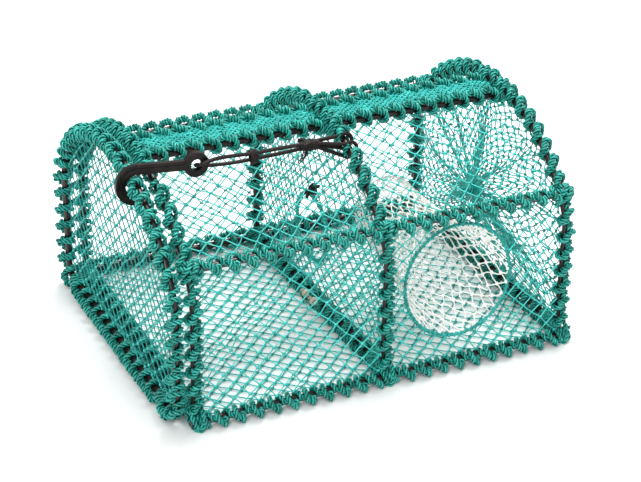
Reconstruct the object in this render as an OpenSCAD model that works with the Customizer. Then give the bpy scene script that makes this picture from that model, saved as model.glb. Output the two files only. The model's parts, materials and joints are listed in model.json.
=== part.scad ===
// Folding crab trap: a cage of three D-shaped rod hoops on two ground rails,
// with an end door, rope-bound rods and netting panels.
// X runs along the cage, Y from front to back, Z up. The floor is z = 0.

/* [Cage] */
// Distance between the two end hoops
cage_length = 450; // [380:1:520]
// Half the width of a hoop, to the rod's centre line
hoop_half_width = 174; // [160:1:190]
// Height at which the straight legs of a hoop end
leg_top = 136; // [120:1:150]
// Radius of a hoop's shoulder bends
shoulder_radius = 60; // [45:1:70]
// Angle that each shoulder turns through
shoulder_angle = 36; // [30:1:42]
// Radius of the bends at a hoop's feet
foot_radius = 15; // [12:1:18]

/* [Rods and rope] */
// Diameter of the frame rods
rod_d = 8; // [6:0.5:8]
// Diameter of the rope bound round the rods
rope_d = 3.8; // [3:0.1:3.8]
// Thickness of a netting panel
net_t = 2; // [1.5:0.1:2.5]

/* [Door and entrance] */
// Distance from the left hoop to the door frame
door_gap = 20.5; // [19:0.5:24]
// Radius of the entrance ring
entrance_radius = 66; // [55:1:69]
// Radius of the inner mouth of the entrance funnel
eye_radius = 38; // [30:1:45]
// Radius of the ring in the partition net
parlour_radius = 40; // [30:1:42]

/* [Hook and shock cord] */
// Radius of the hook's bend, to the middle of its strap
bend_radius = 17.5; // [16.5:0.5:20]
// Width of the hook's strap
strap_w = 11; // [9:0.5:12]
// Thickness of the hook
hook_t = 7; // [5:0.5:8]
// Outer radius of the hook's eye
eyelet_radius = 14; // [12:0.5:15]
// Diameter of the shock cord
shock_d = 4; // [3:0.5:4]

/* [Hidden] */
$fn = 48;

// Rods and their rope binding
rod_r = rod_d / 2;
bound_r = rod_r + rope_d;
bore_gap = 0.1;
panel_gap = 0.7;
edge = bound_r + panel_gap;

// Places of the hoops along the cage, with the whole trap centred on x = 0
hook_reach = bend_radius + strap_w / 2;
centre_x = (door_gap + hook_reach - bound_r) / 2;
left_x = centre_x - cage_length / 2;
right_x = centre_x + cage_length / 2;
door_x = left_x - door_gap;

// Hoop outline: foot bends, straight legs, shoulder bends and one wide crown arc
foot_z = 2 * rod_d;
crown_angle = 90 - shoulder_angle;
shoulder_y = hoop_half_width - shoulder_radius;
crown_radius = (shoulder_y + shoulder_radius * cos(shoulder_angle)) / sin(crown_angle);
crown_z = leg_top + shoulder_radius * sin(shoulder_angle) - crown_radius * cos(crown_angle);
foot_y = hoop_half_width - foot_radius;

// Rails: on the ground outside the feet, at the waist outside the hoops, on top inside them
ground_y = hoop_half_width + rod_d;
ground_z = bound_r;
waist_angle = 52;
waist_out = 10;
top_angle = 5.8;
top_in = 8.5;
function crown_point(angle, r) = [r * sin(angle), crown_z + r * cos(angle)];
waist_yz = crown_point(waist_angle, crown_radius + waist_out);
top_yz = crown_point(top_angle, crown_radius - top_in);
rail_overhang = bound_r;

// Bare stretches of rod where rails, hook and cord cross
bar_bare = 26;
leg_bare = 24;
rail_bare = 27;
waist_bare_angle = 8;
hook_angle = 20.3;
bare_low = 16.3;
bare_high = 24.7;
top_bare_angle = 12;
crown_split = 0.4;
weld_half = 1.5;
weld_r = rod_r + 0.05;
weld_inset = 0.4;
turn_gap = 0.3;

// Rope lashings at the feet and at the door's hinge
foot_collar_w = 12;
foot_collar_r = bound_r - 0.3;
foot_strand_r = 2.4;
strand_inset = 2;
door_lashing_y = 140;
door_lashing_w = 10;
door_lashing_skin = 3.2;
lashing_room = 8;

// Netting
floor_net_z = 0;
cone_depth = 24;
cone_z = 117;
knot_r = 6;
partition_depth = 12;
partition_y = -8;
partition_z = 114;
parlour_ring_x = centre_x - partition_depth + net_t / 2;
twine_ring_r = 2.5;
bunch_r = 4;
knot_h = 8;
outline_steps = 7;
rail_dip = top_yz[1] - rod_r - 1;

// Entrance: its ring in the front panel and the mouth of its funnel inside the cage
entrance_x = centre_x + 89;
entrance_z = 105.5;
entrance_tube = 3.5;
mouth = [centre_x + 72, -28, 128];
funnel_sides = 24;
funnel_gap = 1.5;
funnel_start = 5;

// Hook and cord, in the upright plane where they cross the hoops
hook_y = -crown_radius * sin(hook_angle);
hook_z = crown_z + crown_radius * cos(hook_angle);
eyelet = [door_x + 67.5, hook_z + 11];
eyelet_hole = 6.5;
rib_w = 3;
rib_h = 0.8;
tip_angle = 254;
hook_slot = hook_t + 3;
cord_sides = 8;
loop_radius = 9;
loop_offset = 6.5;
loop_start = [-36, -70, 249];
loop_dip = hook_z - loop_radius - shock_d / 2 - 4;
loop_reach = 22;

// Binding and knot on the cord, measured from the centre hoop
tie_at = [-116, -70, 249.3];
tie_r = 8;
tie_w = 7;
strand_gap = 7.5;
knot_at = [-56, -70, 250];
cord_knot_r = 6;
cord_knot_l = 22;

// Routes of the cord, measured from the centre hoop: its strands from the knot to the tie, then its loop
// from the tie through the hook's eye and back, which starts a hair beyond the strands' ends
strand_routes = [[[-40, -71, 252], [-74, -71.5, 253.5], [-112, -71, 253]],
    [[-40, -69, 248], [-74, -68.5, 246], [-112, -69, 245.5]]];
loop_route_out = [[-112.5, -71, 253], [-135, -72, 255], [-155, -75, 257], [-168, -77, 256],
    [-174, -76, 253.5], [-178, -70, 251]];
loop_route_back = [[-174, -64, 248.5], [-168, -63, 246], [-155, -64, 244.5], [-135, -67, 244.5],
    [-112.5, -69, 245.5]];

// ---------- rods and rope ----------

module rod_section() {
    circle(r = rod_r);
}

module rope_section() {
    difference() {
        circle(r = bound_r);
        circle(r = rod_r + bore_gap);
    }
}

// Sweeps the child section along X from x0 to x1
module along_x(x0, x1) {
    translate([x0, 0, 0]) rotate([90, 0, 90]) linear_extrude(x1 - x0) children();
}

// The following modules work in a hoop's own plane: x is the cage's Y, y is the cage's Z
module bar(x0, x1, y) {
    translate([x0, y, 0]) rotate([90, 0, 90]) linear_extrude(x1 - x0) children();
}

module leg(x, y0, y1) {
    translate([x, y0, 0]) rotate([-90, 0, 0]) linear_extrude(y1 - y0) children();
}

module bend(centre, radius, from, to) {
    translate([centre[0], centre[1], 0]) rotate([0, 0, from])
        rotate_extrude(angle = to - from, $fn = 96) translate([radius, 0]) children();
}

module crown(from, to) {
    bend([0, crown_z], crown_radius, 90 - to, 90 - from) children();
}

module shoulder(from, to) {
    bend([shoulder_y, leg_top], shoulder_radius, from, to) children();
}

module in_hoop_plane(x) {
    translate([x, 0, 0]) rotate([90, 0, 90]) children();
}

// Weld between a shoulder bend and the crown, a shade wider than the rod
module shoulder_weld() {
    translate([shoulder_y, leg_top, 0]) rotate([0, 0, shoulder_angle])
        leg(shoulder_radius, -weld_half, weld_half) circle(r = weld_r);
}

module hoop_side() {
    bend([foot_y, foot_z + foot_radius], foot_radius, -90, 0) rod_section();
    leg(hoop_half_width, foot_z + foot_radius, leg_top) rod_section();
    shoulder(0, shoulder_angle - weld_inset) rod_section();
    shoulder_weld();
}

module hoop(x) {
    crown_end = crown_angle - weld_inset / 2;
    in_hoop_plane(x) {
        bar(-foot_y, foot_y, foot_z) rod_section();
        crown(-crown_end, crown_end) rod_section();
        hoop_side();
        mirror([1, 0, 0]) hoop_side();
    }
}

// Rope on one side of a hoop that carries rails
module hoop_rope_side(crown_stretches) {
    leg(hoop_half_width, foot_z + leg_bare, leg_top) rope_section();
    shoulder(0, shoulder_angle / 2) rope_section();
    for (s = crown_stretches) crown(s[0], s[1]) rope_section();
}

module hoop_rope(x) {
    waist_edge = waist_angle - waist_bare_angle;
    in_hoop_plane(x) {
        bar(-foot_y + bar_bare, foot_y - bar_bare, foot_z) rope_section();
        hoop_rope_side([[top_bare_angle, waist_edge]]);
        mirror([1, 0, 0]) hoop_rope_side([[top_bare_angle, bare_low], [bare_high, waist_edge]]);
    }
}

module rail(yz) {
    translate([0, yz[0], yz[1]]) along_x(left_x - rail_overhang, right_x + rail_overhang) rod_section();
}

module rail_rope(yz) {
    translate([0, yz[0], yz[1]]) {
        along_x(left_x + rail_bare, centre_x - rail_bare) rope_section();
        along_x(centre_x + rail_bare, right_x - rail_bare) rope_section();
    }
}

function front(yz) = [-yz[0], yz[1]];

// ---------- outlines and shells ----------

// One side of a hoop's outline, set in by a margin, from beside the bar's middle to the crown's middle
function half_outline(margin) = concat(
    [for (i = [1 : outline_steps]) [foot_y * (i - 0.5) / outline_steps, foot_z + margin]],
    [for (i = [0 : outline_steps]) let (a = -90 + 90 * i / outline_steps)
        [foot_y + (foot_radius - margin) * cos(a), foot_z + foot_radius + (foot_radius - margin) * sin(a)]],
    [for (i = [1 : outline_steps - 1]) let (low = foot_z + foot_radius)
        [hoop_half_width - margin, low + (leg_top - low) * i / outline_steps]],
    [for (i = [0 : outline_steps]) let (a = shoulder_angle * i / outline_steps)
        [shoulder_y + (shoulder_radius - margin) * cos(a), leg_top + (shoulder_radius - margin) * sin(a)]],
    [for (i = [1 : outline_steps * 2]) let (a = crown_angle * (1 - i / (outline_steps * 2)))
        crown_point(a, crown_radius - margin)]);

function reversed(list) = [for (i = [len(list) - 1 : -1 : 0]) list[i]];

// Whole outline as [y, z] points, without repeating the crown's middle point
function outline(margin) = let (side = half_outline(margin))
    concat(side, [for (p = reversed(side)) if (p[0] > 0.01) [-p[0], p[1]]]);

// Thin shell between two closed rings of equally many points; skin holds the way through it at each point
module ring_shell(outer, inner, skin) {
    n = len(outer);
    points = concat(outer, inner, outer + skin, inner + skin);
    faces = [for (i = [0 : n - 1]) let (j = (i + 1) % n) each [
        [i, j, n + j], [i, n + j, n + i],
        [2 * n + i, 3 * n + j, 2 * n + j], [2 * n + i, 3 * n + i, 3 * n + j],
        [i, 2 * n + j, j], [i, 2 * n + i, 2 * n + j],
        [n + i, n + j, 3 * n + j], [n + i, 3 * n + j, 3 * n + i]]];
    polyhedron(points, faces);
}

// Points of a ring that face the given outline points, seen from the ring's centre
function facing_ring(points, centre, r, x) = [for (p = points)
    let (d = p - centre, q = centre + r * d / norm(d)) [x, q[0], q[1]]];

// Highest that a net across a hoop reaches at y: under the top rails, and under the cord where it is looped
function net_top(y, looped) = looped && abs(y - hook_y) < loop_reach ? loop_dip : rail_dip;

// Netting from a hoop's outline to a smaller ring at another x
module cone_net(hoop_x, ring_x, centre, r, looped) {
    rim = [for (p = outline(edge)) [p[0], min(p[1], net_top(p[0], looped))]];
    outer = [for (p = rim) [hoop_x, p[0], p[1]]];
    ring_shell(outer, facing_ring(rim, centre, r, ring_x), [for (p = rim) [net_t, 0, 0]]);
}

// Flat panel between two rails, in the bay from x0 to x1, with its edges clear of the rope
module bay_panel(low, high, x0, x1) {
    run = high - low;
    length = norm(run);
    tilt = atan2(run[1], run[0]);
    translate([0, low[0], low[1]]) rotate([tilt, 0, 0])
        translate([x0 + edge, edge, -net_t / 2]) cube([x1 - x0 - 2 * edge, length - 2 * edge, net_t]);
}

module two_bays(low, high) {
    bay_panel(low, high, left_x, centre_x);
    bay_panel(low, high, centre_x, right_x);
}

// ---------- ground frame ----------

module ground_rail_front() {
    color("black") rail([-ground_y, ground_z]);
}

module ground_rail_back() {
    color("black") rail([ground_y, ground_z]);
}

module ground_rope_front() {
    color("teal") rail_rope([-ground_y, ground_z]);
}

module ground_rope_back() {
    color("teal") rail_rope([ground_y, ground_z]);
}

// Rope collar round a hoop's bottom bar, tied across to the ground rail; the bar turns in it
module foot_lashing(x) {
    w = foot_collar_w;
    collar_y = foot_y - bar_bare + w;
    difference() {
        union() {
            at_bar(x, collar_y) cylinder(r = foot_collar_r, h = w);
            translate([x, collar_y + strand_inset, ground_z - 1]) rotate([-90, 0, 0])
                cylinder(r = foot_strand_r, h = ground_y - collar_y - 2 * strand_inset);
            at_ground_rail(x - w / 2) cylinder(r = foot_collar_r, h = w);
        }
        at_bar(x, collar_y - w) cylinder(r = rod_r + turn_gap, h = 4 * w);
        at_ground_rail(x - w) cylinder(r = rod_r + bore_gap, h = 2 * w);
    }
}

// Children stand along a bottom bar, from y towards the back
module at_bar(x, y) {
    translate([x, y, foot_z]) rotate([-90, 0, 0]) children();
}

// Children lie along the back ground rail, from x towards the right
module at_ground_rail(x) {
    translate([x, ground_y, ground_z]) rotate([0, 90, 0]) children();
}

module foot_lashings() {
    color("teal") for (x = [left_x, centre_x, right_x]) {
        foot_lashing(x);
        mirror([0, 1, 0]) foot_lashing(x);
    }
}

module floor_net() {
    half = ground_y - edge;
    color("turquoise") translate([left_x, -half, floor_net_z]) cube([cage_length, 2 * half, net_t]);
}

// ---------- front, back and entrance ----------

module on_front_panel() {
    run = [waist_yz[0] - ground_y, waist_yz[1] - ground_z];
    rise = (entrance_z - ground_z) / run[1];
    tilt = atan2(-run[0], run[1]);
    translate([entrance_x, -ground_y - rise * run[0], entrance_z]) rotate([90 - tilt, 0, 0]) children();
}

module front_net() {
    hole_r = entrance_radius + entrance_tube + 0.3;
    color("turquoise") difference() {
        two_bays([-ground_y, ground_z], front(waist_yz));
        on_front_panel() translate([0, 0, -net_t * 2]) cylinder(r = hole_r, h = net_t * 4, $fn = 96);
    }
}

module back_net() {
    color("turquoise") two_bays([ground_y, ground_z], waist_yz);
}

module entrance_ring() {
    color("teal") on_front_panel() rotate_extrude($fn = 96)
        translate([entrance_radius, 0]) circle(r = entrance_tube, $fn = 24);
}

// Netting funnel from the entrance ring to its inner mouth, a slanted thin shell
module entrance_funnel() {
    run = [waist_yz[0] - ground_y, waist_yz[1] - ground_z];
    ring_y = -ground_y - run[0] * (entrance_z - ground_z) / run[1];
    start_r = entrance_radius - entrance_tube - funnel_gap;
    start = [entrance_x, ring_y + funnel_start, entrance_z];
    ways = [for (i = [0 : funnel_sides - 1]) let (a = 360 * i / funnel_sides) [cos(a), 0, sin(a)]];
    color("white") ring_shell([for (w = ways) start + start_r * w], [for (w = ways) mouth + eye_radius * w],
        -net_t * ways);
}

// ---------- hoops ----------

module hoop_left() {
    color("black") hoop(left_x);
}

module hoop_left_rope() {
    color("teal") hoop_rope(left_x);
}

module hoop_centre() {
    color("black") hoop(centre_x);
}

module hoop_centre_rope() {
    color("teal") hoop_rope(centre_x);
}

module hoop_right() {
    color("black") hoop(right_x);
}

module hoop_right_rope() {
    color("teal") hoop_rope(right_x);
}

// Netting across the centre hoop, drawn back a little to a ring that leads to the parlour
module partition_net() {
    ring_gap = twine_ring_r + 1;
    color("turquoise") cone_net(centre_x, centre_x - partition_depth, [partition_y, partition_z],
        parlour_radius + ring_gap, true);
}

module parlour_ring() {
    color("teal") translate([parlour_ring_x, partition_y, partition_z]) rotate([0, 90, 0])
        rotate_extrude($fn = 96) translate([parlour_radius, 0]) circle(r = twine_ring_r, $fn = 24);
}

// Black cord bunched over the top of the parlour ring
module parlour_tie() {
    tie_z = partition_z + parlour_radius + twine_ring_r + bunch_r;
    color("black") translate([parlour_ring_x, partition_y, tie_z]) {
        sphere(r = bunch_r);
        for (side = [-1, 1]) translate([-2, side * bunch_r, bunch_r - 1]) sphere(r = bunch_r - 1);
    }
}

// Netting gathered from the right hoop to a knot inside the cage
module end_net() {
    color("turquoise") cone_net(right_x, right_x - cone_depth, [0, cone_z], knot_r + 1, false);
}

module end_net_knot() {
    color("teal") translate([right_x - cone_depth + net_t / 2, 0, cone_z]) rotate([0, 90, 0]) {
        cylinder(r = knot_r, h = knot_h, center = true);
        translate([0, 0, knot_h / 2 + 1]) sphere(r = knot_r - 1);
    }
}

// ---------- waist and top ----------

module waist_rail_front() {
    color("black") rail(front(waist_yz));
}

module waist_rail_back() {
    color("black") rail(waist_yz);
}

module waist_rope_front() {
    color("teal") rail_rope(front(waist_yz));
}

module waist_rope_back() {
    color("teal") rail_rope(waist_yz);
}

module front_roof_net() {
    color("turquoise") two_bays(front(waist_yz), front(top_yz));
}

module back_roof_net() {
    color("turquoise") mirror([0, 1, 0]) two_bays(front(waist_yz), front(top_yz));
}

module top_rail_front() {
    color("black") rail(front(top_yz));
}

module top_rail_back() {
    color("black") rail(top_yz);
}

module top_rope_front() {
    color("teal") rail_rope(front(top_yz));
}

module top_rope_back() {
    color("teal") rail_rope(top_yz);
}

module top_net() {
    half = top_yz[0] - edge;
    color("turquoise") translate([left_x, -half, top_yz[1] - net_t]) cube([cage_length, 2 * half, net_t]);
}

// ---------- door ----------

module door_hoop() {
    color("black") hoop(door_x);
}

module door_rope_side() {
    leg(hoop_half_width, foot_z + foot_radius, leg_top) rope_section();
    shoulder(0, shoulder_angle) rope_section();
    crown(crown_split, crown_angle - crown_split) rope_section();
}

module door_rope() {
    color("teal") in_hoop_plane(door_x) {
        bar(-door_lashing_y + lashing_room, door_lashing_y - lashing_room, foot_z) rope_section();
        door_rope_side();
        mirror([1, 0, 0]) door_rope_side();
    }
}

// Rope bound round both bottom bars, so that the door turns in it
module door_lashing(y) {
    w = door_lashing_w;
    skin = door_lashing_skin;
    translate([0, y - w / 2, foot_z]) rotate([-90, 0, 0]) difference() {
        union() {
            translate([left_x, 0, 0]) cylinder(r = rod_r + skin, h = w);
            translate([door_x, 0, 0]) cylinder(r = rod_r + skin, h = w);
            translate([door_x, -skin, 0]) cube([door_gap, 2 * skin, w]);
        }
        translate([left_x, 0, -1]) cylinder(r = rod_r + bore_gap, h = w + 2);
        translate([door_x, 0, -1]) cylinder(r = rod_r + turn_gap, h = w + 2);
    }
}

module door_lashings() {
    color("teal") for (y = [-door_lashing_y, door_lashing_y]) door_lashing(y);
}

// The net has a gap under the crown, where the hook's bend passes through it
module door_net() {
    color("turquoise") in_hoop_plane(door_x - net_t / 2) linear_extrude(net_t) difference() {
        polygon(outline(edge));
        translate([hook_y - hook_slot / 2, hook_z - hook_reach - panel_gap])
            square([hook_slot, 2 * hook_reach]);
    }
}

// ---------- hook and shock cord ----------

// One layer of the hook, drawn in the cage's X and Z: bend with a round tip, and shank to the eyelet
module hook_layer(w, t) {
    start = [door_x, hook_z + bend_radius];
    run = eyelet - start;
    tip = [door_x, hook_z] + bend_radius * [cos(tip_angle), sin(tip_angle)];
    bend([door_x, hook_z], bend_radius, 90, tip_angle) square([w, t], center = true);
    translate([tip[0], tip[1], -t / 2]) cylinder(r = w / 2, h = t);
    translate([start[0], start[1], -t / 2]) rotate([0, 0, atan2(run[1], run[0])])
        translate([0, -w / 2, 0]) cube([norm(run) - eyelet_radius / 2, w, t]);
}

module hook() {
    color("black") translate([0, hook_y, 0]) rotate([90, 0, 0]) difference() {
        union() {
            hook_layer(strap_w, hook_t - 2 * rib_h);
            hook_layer(rib_w, hook_t);
            translate([eyelet[0], eyelet[1], -hook_t / 2]) cylinder(r = eyelet_radius, h = hook_t);
        }
        translate([eyelet[0], eyelet[1], -hook_t]) cylinder(r = eyelet_hole, h = 2 * hook_t);
    }
}

// Unit tangent of a route at point i
function tangent(route, i) = let (step = route[min(i + 1, len(route) - 1)] - route[max(i - 1, 0)])
    step / norm(step);

// Ring of points round point i of a route
function tube_ring(route, i, r, side) = let (t = tangent(route, i), u = cross(t, side) / norm(cross(t, side)))
    [for (k = [0 : cord_sides - 1]) let (a = 360 * k / cord_sides)
        route[i] + r * (cos(a) * u + sin(a) * cross(t, u))];

// Round tube swept along a route, with one ring of points at each route point
module tube(route, r, side) {
    n = cord_sides;
    last = len(route) - 1;
    points = [for (i = [0 : last]) each tube_ring(route, i, r, side)];
    walls = [for (i = [0 : last - 1], k = [0 : n - 1]) let (a = i * n + k, b = i * n + (k + 1) % n)
        each [[a, b, b + n], [a, b + n, a + n]]];
    ends = [[for (k = [n - 1 : -1 : 0]) k], [for (k = [0 : n - 1]) last * n + k]];
    polyhedron(points, concat(walls, ends));
}

module shock_cord() {
    route = concat(loop_route_out, loop_route_back);
    color("black") translate([centre_x, 0, 0]) tube(route, shock_d / 2, [0, 0.2, 1]);
}

module cord_strands() {
    color("black") translate([centre_x, 0, 0]) for (route = strand_routes)
        tube(route, shock_d / 2, [0, 0.2, 1]);
}

// Binding that holds the two strands together, with a hole for each of them
module cord_tie() {
    hole_r = shock_d / 2 + 0.4;
    color("black") translate([centre_x + tie_at[0], tie_at[1], tie_at[2]]) rotate([0, 90, 0]) difference() {
        cylinder(r = tie_r, h = tie_w);
        for (side = [-1, 1]) translate([side * strand_gap / 2, side, -1]) cylinder(r = hole_r, h = tie_w + 2);
    }
}

module cord_knot() {
    color("black") translate([centre_x + knot_at[0], knot_at[1], knot_at[2]]) rotate([0, 90, 0]) {
        cylinder(r = cord_knot_r, h = cord_knot_l);
        translate([1, 1, cord_knot_l / 3]) sphere(r = cord_knot_r + 1.5);
        translate([-1, -1, cord_knot_l * 2 / 3]) sphere(r = cord_knot_r + 1);
    }
}

// Route round the centre hoop's rod, starting and ending towards the knot
function loop_route(shift) = let (y = hook_y + shift, z = crown_z + sqrt(crown_radius * crown_radius - y * y))
    concat([loop_start + [0, shift / 2, shock_d / 2]],
        [for (a = [120 : -30 : -120]) [loop_radius * cos(a), y, z + loop_radius * sin(a)]],
        [loop_start + [0, shift / 2, -shock_d / 2]]);

module cord_loops() {
    color("black") translate([centre_x, 0, 0]) for (shift = [-loop_offset, loop_offset])
        tube(loop_route(shift), shock_d / 2, [0, 1, 0]);
}

ground_rail_front();
ground_rail_back();
ground_rope_front();
ground_rope_back();
foot_lashings();
floor_net();
front_net();
back_net();
entrance_ring();
entrance_funnel();
hoop_left();
hoop_left_rope();
door_lashings();
hoop_centre();
hoop_centre_rope();
partition_net();
parlour_ring();
parlour_tie();
hoop_right();
hoop_right_rope();
end_net();
end_net_knot();
waist_rail_front();
waist_rail_back();
waist_rope_front();
waist_rope_back();
front_roof_net();
back_roof_net();
top_rail_front();
top_rail_back();
top_rope_front();
top_rope_back();
top_net();
door_hoop();
door_rope();
door_net();
hook();
shock_cord();
cord_strands();
cord_tie();
cord_knot();
cord_loops();
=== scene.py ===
"""Looks of the folding crab trap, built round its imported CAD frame.

Everything is in metres, in the frame's own axes: X along the cage, Y to the back, Z up.
"""

import json
import math

import bpy
import numpy as np
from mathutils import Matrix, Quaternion, Vector


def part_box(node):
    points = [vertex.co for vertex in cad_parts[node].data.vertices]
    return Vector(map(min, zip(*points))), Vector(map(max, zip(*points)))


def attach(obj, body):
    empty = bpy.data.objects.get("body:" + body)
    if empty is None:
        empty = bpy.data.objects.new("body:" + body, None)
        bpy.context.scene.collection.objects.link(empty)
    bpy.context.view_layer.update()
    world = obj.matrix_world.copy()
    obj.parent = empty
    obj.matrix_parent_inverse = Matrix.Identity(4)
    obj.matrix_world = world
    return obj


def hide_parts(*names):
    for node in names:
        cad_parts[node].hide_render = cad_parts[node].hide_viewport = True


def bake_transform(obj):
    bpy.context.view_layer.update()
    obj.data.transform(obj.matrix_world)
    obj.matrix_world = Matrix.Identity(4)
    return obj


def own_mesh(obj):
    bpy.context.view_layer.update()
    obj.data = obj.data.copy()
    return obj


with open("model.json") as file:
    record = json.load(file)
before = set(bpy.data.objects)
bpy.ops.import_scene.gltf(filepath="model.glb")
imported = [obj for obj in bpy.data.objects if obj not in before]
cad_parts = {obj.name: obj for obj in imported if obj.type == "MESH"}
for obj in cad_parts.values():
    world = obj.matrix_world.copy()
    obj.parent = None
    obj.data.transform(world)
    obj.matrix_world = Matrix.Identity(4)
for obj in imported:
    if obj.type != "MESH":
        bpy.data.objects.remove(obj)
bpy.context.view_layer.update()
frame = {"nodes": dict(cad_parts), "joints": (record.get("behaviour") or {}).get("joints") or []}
rng = np.random.default_rng(7)

# ---------- sizes, from the frame ----------

MM = 0.001
JOINTS = {j["name"]: j for j in frame["joints"]}
LEFT_X = JOINTS["fold_left"]["pos_m"][0]
CENTRE_X = JOINTS["fold_centre"]["pos_m"][0]
RIGHT_X = JOINTS["fold_right"]["pos_m"][0]
DOOR_X = JOINTS["door_swing"]["pos_m"][0]
FOOT_Z = JOINTS["fold_centre"]["pos_m"][2]
HOOK_Y, HOOK_Z = JOINTS["hook_pivot"]["pos_m"][1:]


def middle(node):
    low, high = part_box(node)
    return (low + high) / 2


def yz(node):
    """Place of a rail across the cage."""
    return np.array(middle(node)[1:])


GROUND = yz("ground_rail_back")
WAIST = yz("waist_rail_back")
TOP = yz("top_rail_back")
MIRROR = np.array([-1.0, 1.0])

# Hoop outline
ROD_R = 4 * MM
HALF_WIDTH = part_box("hoop_left")[1][1] - ROD_R
LEG_TOP = 136 * MM
FOOT_R = 15 * MM
SHOULDER_R = 60 * MM
SHOULDER_ANGLE = 36
CROWN_ANGLE = 90 - SHOULDER_ANGLE
SHOULDER_Y = HALF_WIDTH - SHOULDER_R
CROWN_R = ((SHOULDER_Y + SHOULDER_R * math.cos(math.radians(SHOULDER_ANGLE)))
           / math.sin(math.radians(CROWN_ANGLE)))
CROWN_Z = (LEG_TOP + SHOULDER_R * math.sin(math.radians(SHOULDER_ANGLE))
           - CROWN_R * math.cos(math.radians(CROWN_ANGLE)))

# Rope and twine
ROPE_R = 2.9 * MM
ROPE_LAY = 15 * MM
HITCH_PITCH = 21.5 * MM
TWINE_R = 0.72 * MM
NET_CELL = (20.5 * MM, 19 * MM)
CORD_R = 2.2 * MM

# Rope and net are pressed flat this far above the surface that the trap stands on
REST = 0.2 * MM


# ---------- materials ----------

class Nodes:
    """A new material and short ways to add nodes to it."""

    def __init__(self, name, roughness, specular=0.5):
        self.material = bpy.data.materials.new(name)
        self.material.use_nodes = True
        self.tree = self.material.node_tree
        self.shader = self.tree.nodes["Principled BSDF"]
        self.shader.inputs["Roughness"].default_value = roughness
        self.shader.inputs["Specular IOR Level"].default_value = specular

    def add(self, kind, **values):
        node = self.tree.nodes.new(kind)
        for key, value in values.items():
            node.inputs[key.replace("_", " ")].default_value = value
        return node

    def link(self, source, target):
        self.tree.links.new(source, target)

    def coordinates(self, output, scale):
        source = self.tree.nodes.new("ShaderNodeTexCoord")
        mapping = self.add("ShaderNodeMapping", Scale=scale)
        self.link(source.outputs[output], mapping.inputs["Vector"])
        return mapping.outputs["Vector"]

    def math(self, operation, *values):
        node = self.tree.nodes.new("ShaderNodeMath")
        node.operation = operation
        for socket, value in zip(node.inputs, values):
            if isinstance(value, float):
                socket.default_value = value
            else:
                self.link(value, socket)
        return node.outputs[0]

    def noise(self, vector, scale, detail=3.0):
        node = self.add("ShaderNodeTexNoise", Scale=scale, Detail=detail)
        self.link(vector, node.inputs["Vector"])
        return node.outputs["Fac"]

    def ramp(self, factor, stops):
        node = self.tree.nodes.new("ShaderNodeValToRGB")
        elements = node.color_ramp.elements
        while len(elements) < len(stops):
            elements.new(0.5)
        for element, (position, colour) in zip(elements, stops):
            element.position = position
            element.color = (*colour, 1.0)
        self.link(factor, node.inputs["Fac"])
        return node.outputs["Color"]

    def colour(self, output):
        self.link(output, self.shader.inputs["Base Color"])

    def roughness(self, factor, low, high):
        node = self.add("ShaderNodeMapRange", To_Min=low, To_Max=high)
        self.link(factor, node.inputs["Value"])
        self.link(node.outputs["Result"], self.shader.inputs["Roughness"])

    def bump(self, height, strength, distance):
        node = self.add("ShaderNodeBump", Strength=strength, Distance=distance)
        self.link(height, node.inputs["Height"])
        self.link(node.outputs["Normal"], self.shader.inputs["Normal"])


def fibre_material(name, dark, middle_tone, light, roughness):
    """Twisted fibres: streaks along each strand, worn patches, and painted shade in the grooves: darker where
    u nears a half, the side of a laid strand that faces the rope's core, and lighter on its outer crest as a
    painted highlight.
    """
    m = Nodes(name, roughness, 0.45)
    streaks = m.noise(m.coordinates("UV", (9.0, 90.0, 1.0)), 1.0, 4.0)
    patches = m.noise(m.coordinates("Object", (1.0, 1.0, 1.0)), 110.0, 2.0)
    split = m.add("ShaderNodeSeparateXYZ")
    m.link(m.coordinates("UV", (1.0, 1.0, 1.0)), split.inputs[0])
    # Painted shade: 0 on the side of each strand that faces the rope's core, 1 on its outer crest
    groove_shade = m.math("ABSOLUTE", m.math("MULTIPLY_ADD", split.outputs[0], 2.0, -1.0))
    tone = m.math("MULTIPLY", streaks, 0.35)
    tone = m.math("MULTIPLY_ADD", patches, 0.4, tone)
    # The painted groove shade and crest highlight are added into the colour tone here
    tone = m.math("MULTIPLY_ADD", groove_shade, 0.3, tone)
    m.colour(m.ramp(tone, [(0.36, dark), (0.56, middle_tone), (0.76, light)]))
    m.roughness(streaks, roughness - 0.08, roughness + 0.12)
    m.bump(streaks, 0.5, 0.0006)
    return m.material


def rod_material():
    """Black coated steel, rougher where rubbed in places, with brown patches there that are a painted brown
    sheen (painted highlight).
    """
    m = Nodes("coated_rod", 0.3)
    # Painted highlight: the brown end of this ramp is a painted sheen in the colour; the same noise also
    # varies roughness and bumps
    wear_and_sheen = m.noise(m.coordinates("Object", (1.0, 1.0, 1.0)), 70.0, 4.0)
    m.colour(m.ramp(wear_and_sheen, [(0.42, (0.004, 0.004, 0.004)), (0.6, (0.016, 0.008, 0.006)),
                           (0.72, (0.05, 0.018, 0.012))]))
    m.roughness(wear_and_sheen, 0.22, 0.42)
    m.bump(wear_and_sheen, 0.25, 0.0004)
    return m.material


def plastic_material():
    """Moulded black plastic with a fine grain."""
    m = Nodes("hook_plastic", 0.34, 0.22)
    grain = m.noise(m.coordinates("Object", (1.0, 1.0, 1.0)), 900.0, 2.0)
    tone = m.noise(m.coordinates("Object", (1.0, 1.0, 1.0)), 60.0, 2.0)
    m.colour(m.ramp(tone, [(0.4, (0.004, 0.003, 0.003)), (0.65, (0.016, 0.009, 0.008))]))
    m.roughness(tone, 0.28, 0.42)
    m.bump(grain, 0.12, 0.0003)
    return m.material


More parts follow.
